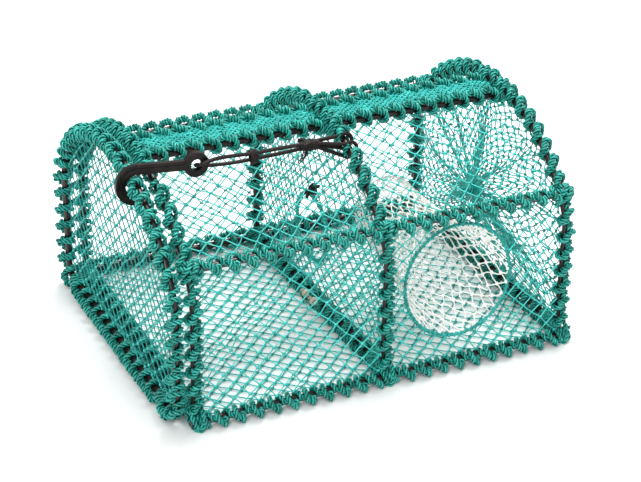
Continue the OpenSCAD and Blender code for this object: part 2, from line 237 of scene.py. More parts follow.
def braid_material():
    """Black braided cover of the elastic cord: two crossed sets of yarns."""
    m = Nodes("braided_cord", 0.5, 0.3)
    waves = []
    for slant in (1.0, -1.0):
        wave = m.add("ShaderNodeTexWave", Scale=1.0, Distortion=0.0)
        uv = m.coordinates("UV", (2.0 * math.pi / 3.0, slant * 180.0, 1.0))
        wave.bands_direction = "DIAGONAL"
        m.link(uv, wave.inputs["Vector"])
        waves.append(wave.outputs["Fac"])
    yarns = m.math("MAXIMUM", *waves)
    m.colour(m.ramp(yarns, [(0.3, (0.002, 0.0015, 0.0015)), (0.9, (0.014, 0.008, 0.007))]))
    m.bump(yarns, 0.5, 0.0005)
    return m.material


# Each ramp's dark and light ends carry the painted groove shade and crest highlight as well as the fibres'
# own streaks
ROPE = fibre_material("teal_rope", (0.0, 0.05, 0.04), (0.001, 0.22, 0.175), (0.06, 0.6, 0.52), 0.34)
TWINE = fibre_material("turquoise_twine", (0.0, 0.16, 0.14), (0.006, 0.42, 0.37), (0.12, 0.76, 0.7), 0.4)
WHITE = fibre_material("white_twine", (0.78, 0.77, 0.7), (0.9, 0.9, 0.87), (0.96, 0.96, 0.94), 0.5)
TAN = fibre_material("tan_twine", (0.5, 0.42, 0.32), (0.75, 0.68, 0.56), (0.88, 0.84, 0.76), 0.6)
ROD = rod_material()
PLASTIC = plastic_material()
BRAID = braid_material()


# ---------- mesh building ----------

class Mesh:
    """Gathers tubes and lumps, then makes one object of them."""

    def __init__(self):
        self.points = []
        self.quads = []
        self.uvs = []
        self.count = 0

    def grids(self, grid, lengths):
        """Tubes from points [tube, ring, side, xyz]; lengths [tube, ring] run along them."""
        tubes, rings, sides, _ = grid.shape
        index = np.arange(tubes * rings * sides).reshape(tubes, rings, sides) + self.count
        near, far = index[:, :-1], index[:, 1:]
        quads = np.stack([near, np.roll(near, -1, 2), np.roll(far, -1, 2), far], -1)
        u = np.arange(sides) / sides
        v = lengths[:, :, None] * np.ones(sides)
        u0 = np.broadcast_to(u, near.shape)
        u1 = u0 + 1 / sides
        v0, v1 = v[:, :-1], v[:, 1:]
        uv = np.stack([np.stack([u0, v0], -1), np.stack([u1, v0], -1),
                       np.stack([u1, v1], -1), np.stack([u0, v1], -1)], -2)
        self.points.append(grid.reshape(-1, 3))
        self.quads.append(quads.reshape(-1, 4))
        self.uvs.append(uv.reshape(-1, 2))
        self.count += grid.size // 3

    def build(self, name, material, body=None, replaces=()):
        data = bpy.data.meshes.new(name)
        points = np.concatenate(self.points)
        points[:, 2] = np.maximum(points[:, 2], REST)
        quads = np.concatenate(self.quads)
        data.vertices.add(len(points))
        data.vertices.foreach_set("co", points.astype(np.float32).ravel())
        data.loops.add(quads.size)
        data.loops.foreach_set("vertex_index", quads.astype(np.int32).ravel())
        data.polygons.add(len(quads))
        data.polygons.foreach_set("loop_start", np.arange(0, quads.size, 4, dtype=np.int32))
        layer = data.uv_layers.new(name="UVMap")
        layer.data.foreach_set("uv", np.concatenate(self.uvs).astype(np.float32).ravel())
        data.update(calc_edges=True)
        data.validate()
        data.shade_smooth()
        data.materials.append(material)
        piece = bpy.data.objects.new(name, data)
        bpy.context.scene.collection.objects.link(piece)
        if body:
            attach(piece, body)
        if replaces:
            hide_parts(*replaces)
        return piece


def unit(vectors):
    return vectors / np.maximum(np.linalg.norm(vectors, axis=-1, keepdims=True), 1e-12)


def along(points):
    """Distance from the start of a line to each of its points."""
    steps = np.linalg.norm(np.diff(points, axis=0), axis=1)
    return np.concatenate([[0.0], np.cumsum(steps)])


def resample(points, step):
    """The same line with evenly spaced points."""
    length = along(points)
    count = max(2, int(round(length[-1] / step)) + 1)
    places = np.linspace(0, length[-1], count)
    return np.stack([np.interp(places, length, points[:, k]) for k in range(3)], 1)


def smooth_line(controls, per_step, closed=False):
    """Catmull-Rom line through control points."""
    p = np.asarray(controls, float)
    if closed:
        p = np.concatenate([p[-1:], p, p[:2]])
    else:
        p = np.concatenate([2 * p[:1] - p[1:2], p, 2 * p[-1:] - p[-2:-1]])
    t = np.linspace(0, 1, per_step, endpoint=False)[:, None]
    parts = []
    for a, b, c, d in zip(p[:-3], p[1:-2], p[2:-1], p[3:]):
        parts.append(0.5 * (2 * b + (c - a) * t + (2 * a - 5 * b + 4 * c - d) * t ** 2
                            + (3 * b - a - 3 * c + d) * t ** 3))
    parts.append(p[-2:-1])
    return np.concatenate(parts)


def frames(points, closed=False):
    """Tangents and two side directions that are carried along a line without twisting."""
    tangents = np.gradient(points, axis=0)
    if closed:
        tangents[0] = tangents[-1] = points[1] - points[-2]
    tangents = unit(tangents)
    side = np.cross(tangents[0], [0.37, 0.21, 0.9])
    sides = [side / np.linalg.norm(side)]
    for t in tangents[1:]:
        s = sides[-1] - t * (sides[-1] @ t)
        sides.append(s / np.linalg.norm(s))
    sides = np.array(sides)
    ups = np.cross(tangents, sides)
    if closed:
        drift = math.atan2(sides[-1] @ ups[0], sides[-1] @ sides[0])
        turn = -drift * np.linspace(0, 1, len(points))[:, None]
        sides, ups = (sides * np.cos(turn) + ups * np.sin(turn), ups * np.cos(turn) - sides * np.sin(turn))
    return tangents, sides, ups


def tube(mesh, points, radius, sides=8, tapered=False):
    """Round tube along a line; tapered closes its ends."""
    _, side, up = frames(points)
    radii = np.full(len(points), radius)
    if tapered:
        radii[0] = radii[-1] = radius * 0.15
        radii[1] = radii[-2] = radius * 0.8
    angle = np.arange(sides) * 2 * math.pi / sides
    ring = np.cos(angle)[None, :, None] * side[:, None] + np.sin(angle)[None, :, None] * up[:, None]
    mesh.grids((points[:, None] + radii[:, None, None] * ring)[None], along(points)[None])


def laid_rope(mesh, points, radius=ROPE_R, lay=ROPE_LAY, strands=3, sides=6, closed=False):
    """Rope of twisted strands along a line."""
    _, side, up = frames(points, closed)
    length = along(points)
    turns = length[-1] / lay
    if closed:
        turns = max(1, round(turns * strands)) / strands
    strand_r = 0.47 * radius
    for k in range(strands):
        turn = 2 * math.pi * (k / strands + turns * length / length[-1])[:, None]
        outward = np.cos(turn) * side + np.sin(turn) * up
        across = np.cos(turn) * up - np.sin(turn) * side
        centre = points + (radius - strand_r) * outward
        angle = np.arange(sides) * 2 * math.pi / sides
        ring = (np.cos(angle)[None, :, None] * outward[:, None]
                + np.sin(angle)[None, :, None] * across[:, None])
        mesh.grids((centre[:, None] + strand_r * ring)[None], length[None])


# ---------- rope hitched round the rods ----------

# Turns that each half hitch takes round the rod
HITCH_TURNS = 2

# One half hitch: turns round the rod, share of the pitch, and height above the rod in rope diameters
HITCH = np.array([
    (0.03, 0.00, 0.00), (0.25, 0.06, 0.00), (0.50, 0.12, 0.00), (0.75, 0.19, 0.00), (0.99, 0.27, 0.00),
    (0.99, 0.45, 0.10), (1.00, 0.62, 0.25), (1.07, 0.80, 0.90), (1.18, 0.94, 0.50), (1.32, 0.93, 0.00),
    (1.50, 0.86, 0.00), (1.66, 0.74, 0.00), (1.82, 0.58, 0.08), (1.93, 0.50, 0.70), (2.00, 0.50, 0.95),
    (2.06, 0.57, 0.65), (2.085, 0.70, 0.05), (2.065, 0.85, 0.00)])
HITCH_STEP = 1.7 * MM


def hitched(mesh, line, ridge):
    """Half hitches round a rod along a line; ridge [point, xyz] is the side that the hitches sit on."""
    length = along(line)
    count = max(1, int(round(length[-1] / HITCH_PITCH)))
    pitch = length[-1] / count
    turns, places, heights = [], [], []
    for k in range(count):
        wobble = rng.normal(0, 1, (len(HITCH), 3)) * (0.008, 0.012, 0.03)
        hitch = HITCH + wobble
        turns.append(hitch[:, 0] + HITCH_TURNS * k)
        places.append((hitch[:, 1] + k) * pitch)
        heights.append(hitch[:, 2])
    controls = np.stack([np.concatenate(turns) * 2 * math.pi, np.concatenate(places),
                         np.clip(np.concatenate(heights), 0, None)], 1)
    path = smooth_line(controls, 5)
    place = np.clip(path[:, 1], 0, length[-1])
    tangents = unit(np.gradient(line, axis=0))
    outs = unit(ridge - tangents * np.sum(ridge * tangents, 1)[:, None])
    sides = np.cross(tangents, outs)

    def at(values):
        return np.stack([np.interp(place, length, values[:, k]) for k in range(3)], 1)

    radius = ROD_R + ROPE_R + np.clip(path[:, 2], 0, None) * 2 * ROPE_R
    rope = at(line) + radius[:, None] * (np.cos(path[:, :1]) * at(outs) + np.sin(path[:, :1]) * at(sides))
    laid_rope(mesh, resample(rope, HITCH_STEP))


def arc(centre, radius, start, end, count=24):
    angle = np.radians(np.linspace(start, end, count))
    return np.stack([centre[0] + radius * np.cos(angle), centre[1] + radius * np.sin(angle)], 1)


def hoop_side(inset=0.0):
    """Half of a hoop's outline in Y and Z, from the middle of its bottom bar up to its crown."""
    foot = (HALF_WIDTH - FOOT_R, FOOT_Z + FOOT_R)
    return np.concatenate([
        [(0.0, FOOT_Z + inset)],
        arc(foot, FOOT_R - inset, -90, 0, 8),
        arc((SHOULDER_Y, LEG_TOP), SHOULDER_R - inset, 0, SHOULDER_ANGLE),
        arc((0.0, CROWN_Z), CROWN_R - inset, SHOULDER_ANGLE, 90, 40)[1:]])


def hoop_outline(inset=0.0):
    """Whole outline, from the middle of the bottom bar round by the back."""
    side = hoop_side(inset)
    return np.concatenate([side, (side * MIRROR)[::-1][1:]])


def in_hoop_plane(points, x):
    return np.concatenate([np.full((len(points), 1), x), points], 1)


def pieces_between(line, gaps):
    """The parts of a line outside its gaps; a gap is a point on it and half its length."""
    length = along(line)
    cuts = sorted((length[np.argmin(np.linalg.norm(line - np.asarray(p), axis=1))], half) for p, half in gaps)
    start = 0.0
    for place, half in cuts + [(length[-1] + 1.0, 1.0)]:
        inside = (length >= start) & (length <= place - half)
        if inside.sum() > 12:
            yield inside
        start = place + half


def hoop_rope(name, x, body, gaps, replaces, lean=0.0):
    line = resample(in_hoop_plane(hoop_outline(), x), MM)
    ridge = line - np.array([x + lean, 0.0, 0.11])
    mesh = Mesh()
    for part in pieces_between(line, gaps):
        hitched(mesh, line[part], ridge[part])
    return mesh.build(name, ROPE, body, replaces)


# Half of the bare length that a rod leaves for rope bound across it, and for the cord or hook
CROSSING_GAP = 8 * MM
HOOK_GAP = 7 * MM


def cage_hoop_rope(name, x, body):
    rails = [WAIST, WAIST * MIRROR, TOP, TOP * MIRROR]
    gaps = [((x, *place), CROSSING_GAP) for place in rails]
    if x < RIGHT_X:
        gaps.append(((x, HOOK_Y, HOOK_Z), HOOK_GAP))
    hoop_rope(name, x, body, gaps, [name.replace("_binding", "_rope")])


def rail_rope(node, place, body, ridge):
    low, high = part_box(node)
    line = resample(np.array([(low.x, *place), (high.x, *place)]), MM)
    gaps = [((x, *place), CROSSING_GAP) for x in (LEFT_X, CENTRE_X, RIGHT_X)]
    mesh = Mesh()
    for part in pieces_between(line, gaps):
        hitched(mesh, line[part], np.broadcast_to(np.array(ridge, float), (part.sum(), 3)))
    rope_node = node.replace("rail", "rope")
    mesh.build(rope_node + "_binding", ROPE, body, [rope_node])


def coil(mesh, start, axis, side, radius, turns, pitch=2 * ROPE_R):
    """Turns of rope wound round a straight rod."""
    axis, side = np.array(axis, float), np.array(side, float)
    t = np.linspace(0, turns, int(turns * 18) + 1)[:, None]
    third = np.cross(axis, side)
    points = (np.array(start) + axis * pitch * t
              + radius * (np.cos(2 * math.pi * t) * side + np.sin(2 * math.pi * t) * third))
    laid_rope(mesh, points)


def crossing(mesh, centre, first, second, apart, passes=(-1, 1)):
    """Diagonal turns of rope that bind two crossing rods."""
    between = unit(np.cross(first, second))
    for sign in (1, -1):
        diagonal = unit(np.array(first) + sign * np.array(second))
        across = np.cross(between, diagonal)
        for shift in passes:
            angle = np.linspace(0, 2 * math.pi, 41)[:, None]
            reach = ROD_R + ROPE_R + 2.2 * MM
            height = apart / 2 + ROD_R + ROPE_R + (1 + sign) * 0.5 * ROPE_R
            loop = (np.array(centre) + across * shift * 1.15 * ROPE_R
                    + diagonal * reach * np.cos(angle) + between * height * np.sin(angle))
            laid_rope(mesh, loop, closed=True)


def crossings(name, x, body):
    """Bindings of the four upper rails to one hoop."""
    mesh = Mesh()
    for place, out in ((WAIST, 1), (TOP, -1)):
        for mirror in (np.ones(2), MIRROR):
            rail = place * mirror
            centre_line = np.array([0.0, CROWN_Z])
            away = unit(rail - centre_line)
            hoop = centre_line + away * CROWN_R
            tangent = np.array([0.0, away[1], -away[0]])
            apart = np.linalg.norm(rail - hoop)
            crossing(mesh, (x, *((rail + hoop) / 2)), np.array([1.0, 0.0, 0.0]), tangent, apart)
    mesh.build(name, ROPE, body)


def foot_bindings():
    """Rope round each hoop's bottom bar and the ground rail beside it."""
    mesh = Mesh()
    bar_y = HALF_WIDTH - FOOT_R - 14 * MM
    for x in (LEFT_X, CENTRE_X, RIGHT_X):
        for s in (1, -1):
            coil(mesh, (x, s * bar_y, FOOT_Z), (0, s, 0), (1, 0, 0), ROD_R + ROPE_R, 3)
            coil(mesh, (x - 6 * MM, s * GROUND[0], GROUND[1]), (1, 0, 0), (0, 0, 1),
                 ROD_R + ROPE_R - 0.1 * MM, 3)
            foot = np.array([s * (HALF_WIDTH - FOOT_R), FOOT_Z + FOOT_R])
            foot += FOOT_R * math.sqrt(0.5) * np.array([s, -1])
            rail = GROUND * (s, 1)
            tangent = np.array([0.0, s, 1.0]) * math.sqrt(0.5)
            between = (x, *((foot + rail) / 2))
            crossing(mesh, between, np.array([1.0, 0, 0]), tangent, np.linalg.norm(rail - foot), (0,))
    mesh.build("foot_bindings", ROPE, "base", ["foot_lashings"])


# The door's rope hinges lie this far from the middle of its bottom bar
HINGE_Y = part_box("door_lashings")[1].y - 5 * MM


def door_hinges():
    """Rope loops round the bottom bars of the door and the left hoop."""
    mesh = Mesh()
    reach = (LEFT_X - DOOR_X) / 2
    for s in (1, -1):
        for k in (-1, 0, 1):
            angle = np.linspace(0, 2 * math.pi, 49)[:, None]
            bulge = np.sign(np.cos(angle)) * np.abs(np.cos(angle)) ** 0.6
            rise = np.sign(np.sin(angle)) * np.abs(np.sin(angle)) ** 0.8
            loop = (np.array([(LEFT_X + DOOR_X) / 2, s * HINGE_Y + k * 2 * ROPE_R, FOOT_Z])
                    + bulge * (reach + ROD_R + ROPE_R) * np.array([1.0, 0, 0])
                    + rise * (ROD_R + ROPE_R) * np.array([0, 0, 1.0]))
            laid_rope(mesh, loop, closed=True)
    mesh.build("door_hinges", ROPE, "hoop_left", ["door_lashings"])


# ---------- netting ----------

def knots(mesh, places, along_dirs, normals, size):
    """Small lumps where the twines are knotted, each a short thick barrel."""
    count = len(places)
    if not count:
        return
    sides, rings = 6, 5
    side = np.cross(normals, along_dirs)
    shares = np.linspace(-1, 1, rings)
    reach = np.array([0.25, 0.9, 1.0, 0.9, 0.25])
    angle = np.arange(sides) * 2 * math.pi / sides
    round_way = (np.cos(angle)[None, :, None] * side[:, None]
                 + np.sin(angle)[None, :, None] * normals[:, None] * 0.8)
    grid = (places[:, None, None] + along_dirs[:, None, None] * (shares * size * 1.15)[None, :, None, None]
            + round_way[:, None] * (reach * size)[None, :, None, None])
    mesh.grids(grid, np.broadcast_to(shares * size, (count, rings)).copy())


def net_points(extent, cell, keep, jitter):
    """Flat diamond lattice: kept knots, and both ends of the twines between them, cut at the net's edge."""
    columns = int(extent[0] / (cell[0] / 2)) + 2
    rows = int(extent[1] / (cell[1] / 2)) + 2
    i, j = np.meshgrid(np.arange(-1, columns), np.arange(-1, rows), indexing="ij")
    even = (i + j) % 2 == 0
    shake = rng.normal(0, 1, (*i.shape, 2)) * jitter
    flat = np.stack([i * cell[0] / 2, j * cell[1] / 2], -1) + shake * np.array(cell)
    starts, ends = [], []
    for dj in (1, -1):
        a = even[:-1, max(0, -dj):even.shape[1] - max(0, dj)]
        p = flat[:-1, max(0, -dj):even.shape[1] - max(0, dj)][a]
        q = flat[1:, max(0, dj):even.shape[1] + min(0, dj)][a]
        starts.append(p)
        ends.append(q)
    p, q = np.concatenate(starts), np.concatenate(ends)
    inside_p, inside_q = keep(p), keep(q)
    flip = inside_q & ~inside_p
    p[flip], q[flip] = q[flip].copy(), p[flip].copy()
    some = inside_p | inside_q
    both = (inside_p & inside_q)[some]
    p, q = p[some], q[some]
    low, high = np.zeros(len(p)), np.ones(len(p))
    for _ in range(12):
        mid = (low + high) / 2
        good = keep(p + (q - p) * mid[:, None])
        low, high = np.where(good, mid, low), np.where(good, high, mid)
    q = np.where(both[:, None], q, p + (q - p) * low[:, None])
    lattice = flat[even]
    return lattice[keep(lattice)], p, q


def netting(surface, extent, cell, keep, radius=TWINE_R, jitter=0.05, sides=5, knot=2.6):
    """Knots and twines on a surface: twine points [twine, ring, xyz], knot places and their directions."""
    lattice, p, q = net_points(extent, cell, keep, jitter)
    t = np.linspace(0, 1, 4)
    flat = p[:, None] + (q - p)[:, None] * t[None, :, None]
    bow = np.sin(t * math.pi)[None, :, None] * rng.normal(0, 0.05, (len(p), 1, 1)) * (q - p)[:, None, ::-1]
    paths = surface(flat + bow)
    step = 0.5 * MM
    here = surface(lattice)
    du = unit(surface(lattice + (step, 0)) - here)
    dv = unit(surface(lattice + (0, step)) - here)
    normals = unit(np.cross(du, dv))
    return {"paths": paths, "knots": here, "along": du, "normals": normals, "radius": radius,
            "size": radius * knot, "sides": sides}


def weave(net, name, material, body, pick=None, replaces=()):
    """One object from a net, or from the part of it that pick chooses."""
    paths, places = net["paths"], net["knots"]
    keep_paths = np.ones(len(paths), bool) if pick is None else pick(paths.mean(1))
    keep_knots = np.ones(len(places), bool) if pick is None else pick(places)
    paths = paths[keep_paths]
    mesh = Mesh()
    tangents = unit(np.gradient(paths, axis=1))
    side = unit(np.cross(tangents, [0.31, 0.47, 0.83]))
    up = np.cross(tangents, side)
    angle = np.arange(net["sides"]) * 2 * math.pi / net["sides"]
    ring = (np.cos(angle)[None, None, :, None] * side[:, :, None]
            + np.sin(angle)[None, None, :, None] * up[:, :, None])
    lengths = np.concatenate([np.zeros((len(paths), 1)),
                              np.cumsum(np.linalg.norm(np.diff(paths, axis=1), axis=2), 1)], 1)
    mesh.grids(paths[:, :, None] + net["radius"] * ring, lengths)
    knots(mesh, places[keep_knots], net["along"][keep_knots], net["normals"][keep_knots], net["size"])
    return mesh.build(name, material, body, replaces)


def bulges(points, size, scale=0.06):
    """Gentle in and out waves of slack netting."""
    x, y = points[..., 0] / scale, points[..., 1] / scale
    return size * (np.sin(1.7 * x + 0.6) * np.cos(1.3 * y + 0.4) + 0.5 * np.sin(2.9 * x - 1.7 * y))


def panel(low, high, slack):
    """Surface between two rails: u along the cage from its left hoop, v up the slope. Also its height."""
    low, high = np.array(low), np.array(high)
    height = np.linalg.norm(high - low)
    slope = (high - low) / height
    normal = np.array([-slope[1], slope[0]])

    def surface(flat):
        u, v = flat[..., 0], flat[..., 1]
        sag = bulges(flat, slack) * np.sin(np.clip(v / height, 0, 1) * math.pi)
        place = low + slope * v[..., None] + normal * sag[..., None]
        return np.concatenate([(LEFT_X + u)[..., None], place], -1)

    return surface, height


EDGE = ROD_R + ROPE_R


def bays(height, hole=None):
    """Keeps what lies between the hoops and the rails, outside an optional round hole."""
    def keep(flat):
        x, v = LEFT_X + flat[..., 0], flat[..., 1]
        near = np.min([np.abs(x - h) for h in (LEFT_X, CENTRE_X, RIGHT_X)], 0)
        good = (near > EDGE) & (v > EDGE) & (v < height - EDGE) & (x > LEFT_X) & (x < RIGHT_X)
        if hole is not None:
            centre, radius = hole
            good &= np.hypot(x - centre[0], v - centre[1]) > radius
        return good
    return keep


CAGE_LENGTH = RIGHT_X - LEFT_X
RING = middle("entrance_ring")
RING_R = (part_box("entrance_ring")[1].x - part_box("entrance_ring")[0].x) / 2


def side_nets():
    """Front and back nets: the lower part stays with the ground rails, the upper with the waist rails."""
    split = (GROUND[1] + WAIST[1]) / 2
    for name, s in (("front", -1), ("back", 1)):
        mirror = np.array([s, 1.0])
        surface, height = panel(GROUND * mirror, WAIST * mirror, 2.2 * MM)
        hole = ((RING.x, RING.z - GROUND[1]), RING_R - 2 * MM) if s < 0 else None
        net = netting(surface, (CAGE_LENGTH, height), NET_CELL, bays(height, hole))
        low = weave(net, name + "_net_low", TWINE, "base", lambda p: p[:, 2] < split, [name + "_net"])
        high = weave(net, name + "_net_high", TWINE, "waist_rails", lambda p: p[:, 2] >= split)
        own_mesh(low)
        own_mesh(high)


def roof_nets():
    """Roof nets: the lower part stays with the waist rails, the upper with the top rails."""
    split = (WAIST[1] + TOP[1]) / 2
    for name, s in (("front", -1), ("back", 1)):
        mirror = np.array([s, 1.0])
        surface, height = panel(WAIST * mirror, TOP * mirror, 1.5 * MM)
        net = netting(surface, (CAGE_LENGTH, height), NET_CELL, bays(height))
        low = weave(net, name + "_roof_low", TWINE, "waist_rails", lambda p: p[:, 2] < split,
                    [name + "_roof_net"])
        high = weave(net, name + "_roof_high", TWINE, "top_rails", lambda p: p[:, 2] >= split)
        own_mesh(low)
        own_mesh(high)


def floor_netting():
    """Floor net, lying flat and rising to the ground rails at its sides."""
    width = 2 * GROUND[0]

    def surface(flat):
        u, v = flat[..., 0], flat[..., 1]
        near = np.clip(np.minimum(v, width - v) / (40 * MM), 0, 1)
        z = 1.6 * MM + (GROUND[1] - 2 * MM) * (1 - near) ** 2
        return np.stack([LEFT_X + u, v - width / 2, z], -1)

    def keep(flat):
        x, v = LEFT_X + flat[..., 0], flat[..., 1]
        return (x > LEFT_X) & (x < RIGHT_X) & (v > EDGE) & (v < width - EDGE)

    net = netting(surface, (CAGE_LENGTH, width), NET_CELL, keep)
    weave(net, "floor_netting", TWINE, "base", None, ["floor_net"])


def top_netting():
    """Strip of bunched netting between the top rails, in two layers."""
    width = 2 * TOP[0]
    replaced = ["top_net"]
    layers = (("top_netting", (8 * MM, 7.5 * MM), 5.5), ("top_netting_inner", (9 * MM, 6.5 * MM), 3))
    for name, cell, rise in layers:
        def surface(flat, lift=rise * MM):
            u, v = flat[..., 0], flat[..., 1]
            z = TOP[1] + lift + bulges(flat, 0.9 * MM, 0.012)
            return np.stack([LEFT_X + u, v - width / 2, z], -1)

        def keep(flat):
            x, v = LEFT_X + flat[..., 0], flat[..., 1]
            return (x > LEFT_X) & (x < RIGHT_X) & (v > ROD_R) & (v < width)

        net = netting(surface, (CAGE_LENGTH, width), cell, keep, 0.85 * MM, 0.1)
        weave(net, name, TWINE, "top_rails", None, replaced)
        replaced = []


OUTLINE = hoop_outline(EDGE)
OUTLINE_HEIGHT = 240 * MM


def inside_outline(points):
    """True where [y, z] points lie inside a hoop's netting outline."""
    y, z = points[..., 0], points[..., 1]
    result = np.zeros(y.shape, bool)
    ring = OUTLINE[:-1]
    for (y0, z0), (y1, z1) in zip(ring, np.roll(ring, -1, 0)):
        crosses = (z0 > z) != (z1 > z)
        if z0 != z1:
            result ^= crosses & (y < (y1 - y0) * (z - z0) / (z1 - z0) + y0)
    return result


def upright_net(x, depth=0.0, hole=None):
    """Netting across a hoop, optionally drawn towards a ring: hole is its centre [y, z] and radius."""
    low_y, low_z = -HALF_WIDTH, FOOT_Z

    def place(flat):
        return np.stack([low_y + flat[..., 0], low_z + flat[..., 1]], -1)

    def surface(flat):
        across = place(flat)
        shift = bulges(flat, 1.2 * MM)
        if hole is not None:
            away = np.linalg.norm(across - hole[0], axis=-1)
            shift = shift - depth * np.clip(1 - (away - hole[1]) / (90 * MM), 0, 1)
        return np.concatenate([(x + shift)[..., None], across], -1)

    def keep(flat):
        across = place(flat)
        good = inside_outline(across)
        if hole is not None:
            good &= np.linalg.norm(across - hole[0], axis=-1) > hole[1]
        return good

    return netting(surface, (2 * HALF_WIDTH, OUTLINE_HEIGHT), NET_CELL, keep)


def door_netting():
    weave(upright_net(DOOR_X), "door_netting", TWINE, "door", None, ["door_net"])


def wound_ring(name, centre, axis_tilt, radius, tube_r, turns, body, replaces):
    """Ring bound all round with twine."""
    t = np.linspace(0, 1, turns * 10 + 1)[:, None]
    around = 2 * math.pi * t
    out = np.concatenate([np.cos(around), np.zeros_like(t), np.sin(around)], 1)
    wind = 2 * math.pi * turns * t
    line = radius * out + (tube_r - TWINE_R) * (np.cos(wind) * out + np.sin(wind) * np.array([0, 1.0, 0]))
    core = Mesh()
    turn = axis_tilt.to_matrix()
    line = line @ np.array(turn).T + np.array(centre)
    laid_rope(core, line, 1.15 * MM, 6 * MM, 2, 5)
    inner = (radius * out) @ np.array(turn).T + np.array(centre)
    tube(core, inner, 0.6 * tube_r, 6)
    return core.build(name, TWINE, body, replaces)


def partition():
    """Netting across the centre hoop, drawn to the twine-bound parlour ring."""
    ring = middle("parlour_ring")
    ring_r = (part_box("parlour_ring")[1].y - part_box("parlour_ring")[0].y) / 2
    net = upright_net(CENTRE_X, CENTRE_X - ring.x, (np.array(ring[1:]), ring_r - 2 * MM))
    weave(net, "partition_netting", TWINE, "hoop_centre", None, ["partition_net"])
    upright = Quaternion((0, 0, 1), math.pi / 2)
    wound_ring("parlour_ring_binding", ring, upright, ring_r - 2.5 * MM, 2.7 * MM, 60, "hoop_centre",
               ["parlour_ring"])


def polar(ring_a, ring_b, cells, power=1.0):
    """Surface from one closed ring to another: u in cells round it, v from 0 to 1."""
    def surface(flat):
        turn = (flat[..., 0] / cells) % 1.0
        v = np.clip(flat[..., 1], 0, 1) ** power
        a, b = ring_a(turn), ring_b(turn)
        return a + (b - a) * v[..., None]
    return surface


def ring_of(points):
    """A closed line of points as a function of the share of the way round."""
    length = along(points)

    def at(turn):
        return np.stack([np.interp(turn * length[-1], length, points[:, k]) for k in range(3)], -1)
    return at


def whole_polar(cells):
    """Keeps one whole way round a polar surface, from one ring to the other."""
    def keep(flat):
        return (flat[..., 1] >= 0) & (flat[..., 1] <= 1) & (flat[..., 0] >= 0) & (flat[..., 0] < cells)
    return keep


def gathered_end():
    """Netting laced round the right hoop and gathered to a knot inside the cage."""
    low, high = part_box("end_net_knot")
    knot = np.array(((low.x + high.x) / 2, 0.0, (low.z + high.z) / 2))
    rim = resample(in_hoop_plane(hoop_outline(EDGE), RIGHT_X), 2 * MM)
    neck = 5.5 * MM
    small = knot + neck * unit((rim - np.array([RIGHT_X, 0, knot[2]])) * (0, 1, 1))
    cells, rows = 58, 10
    flatten = polar(ring_of(rim), ring_of(small), cells, 1.15)

    def surface(flat):
        turn, v = flat[..., 0] / cells * 2 * math.pi, flat[..., 1]
        points = flatten(np.stack([flat[..., 0] + 1.2 * np.sin(3 * turn) * v ** 2, v], -1))
        fold = 5 * MM * np.sin(11 * turn + 2 * np.sin(3 * turn)) * np.sin(np.clip(v, 0, 1) * math.pi)
        return points + fold[..., None] * np.array([1.0, 0, 0])

    net = netting(surface, (cells, 1.0), (1.0, 1.0 / rows), whole_polar(cells), TWINE_R, 0.05)
    pieces = [weave(net, "end_netting", TWINE, "hoop_right", None, ["end_net"])]
    seams = Mesh()
    for share in (0.08, 0.21, 0.345, 0.5, 0.62, 0.8, 0.93):
        for offset in (-0.006, 0.0, 0.006):
            v = np.linspace(0, 1, 30)
            u = (share + offset * (1 - v) + 0.006 * np.sin(9 * v + offset * 400)) * cells
            laid_rope(seams, surface(np.stack([u, v], -1)), 1.0 * MM, 6 * MM, 2, 5)
    pieces.append(seams.build("end_netting_seams", TWINE, "hoop_right"))
    bunch = Mesh()
    coil(bunch, knot - (5 * MM, 0, 0), (1, 0, 0), (0, 0, 1), 5.2 * MM, 3)
    for k in range(7):
        angle = 2 * math.pi * k / 7
        out = np.array([0, math.cos(angle), math.sin(angle)])
        tail = smooth_line([knot + out * 3 * MM, knot + out * 2 * MM - (9 * MM, 0, 0),
                            knot + out * (3 + k % 3) * MM - ((12 + 2 * (k % 3)) * MM, 0, 2 * MM)], 6)
        laid_rope(bunch, tail, 1.3 * MM, 6 * MM, 2, 5)
    pieces.append(bunch.build("end_knot", TWINE, "hoop_right", ["end_net_knot"]))
    for piece in pieces:
        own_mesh(piece)


def entrance():
    """Laced ring in the front net and the white funnel that leads in from it."""
    rise = WAIST[1] - GROUND[1]
    tilt = Quaternion((1, 0, 0), math.atan2(GROUND[0] - WAIST[0], rise) * -1)
    ring = wound_ring("entrance_ring_binding", RING, tilt, RING_R - 3.5 * MM, 2.9 * MM, 62, "base",
                      ["entrance_ring"])
    mouth_r = 38 * MM
    turn = np.linspace(0, 2 * math.pi, 73)
    round_way = np.stack([np.cos(turn), 0 * turn, np.sin(turn)], 1)
    tilted = round_way @ np.array(tilt.to_matrix()).T
    mouth = np.array([CENTRE_X + 72 * MM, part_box("entrance_funnel")[1].y, RING.z + 27 * MM])
    start = np.array(RING) + (RING_R - 6 * MM) * tilted
    end = mouth + mouth_r * round_way
    cells, rows = 26, 8
    flatten = polar(ring_of(start), ring_of(end), cells)

    def surface(flat):
        points = flatten(flat)
        v = np.clip(flat[..., 1], 0, 1)
        way = flat[..., 0] / cells * 2 * math.pi
        pinch = -5 * MM * np.sin(v * math.pi)
        points[..., 0] += pinch * np.cos(way)
        points[..., 2] += pinch * np.sin(way) - 4 * MM * np.sin(v * math.pi)
        return points

    net = netting(surface, (cells, 1.0), (1.0, 1.0 / rows), whole_polar(cells), 0.8 * MM, 0.04)
    funnel = weave(net, "funnel_netting", WHITE, "base", None, ["entrance_funnel"])
    rim = Mesh()
    line = surface(np.stack([np.linspace(0, cells * 0.999, 90), np.ones(90)], -1))
    laid_rope(rim, line, 1.2 * MM, 6 * MM, 2, 5)
    rim_piece = rim.build("funnel_mouth", WHITE, "base")
    for piece in (ring, funnel, rim_piece):
        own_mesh(piece)


# ---------- hook and shock cord ----------

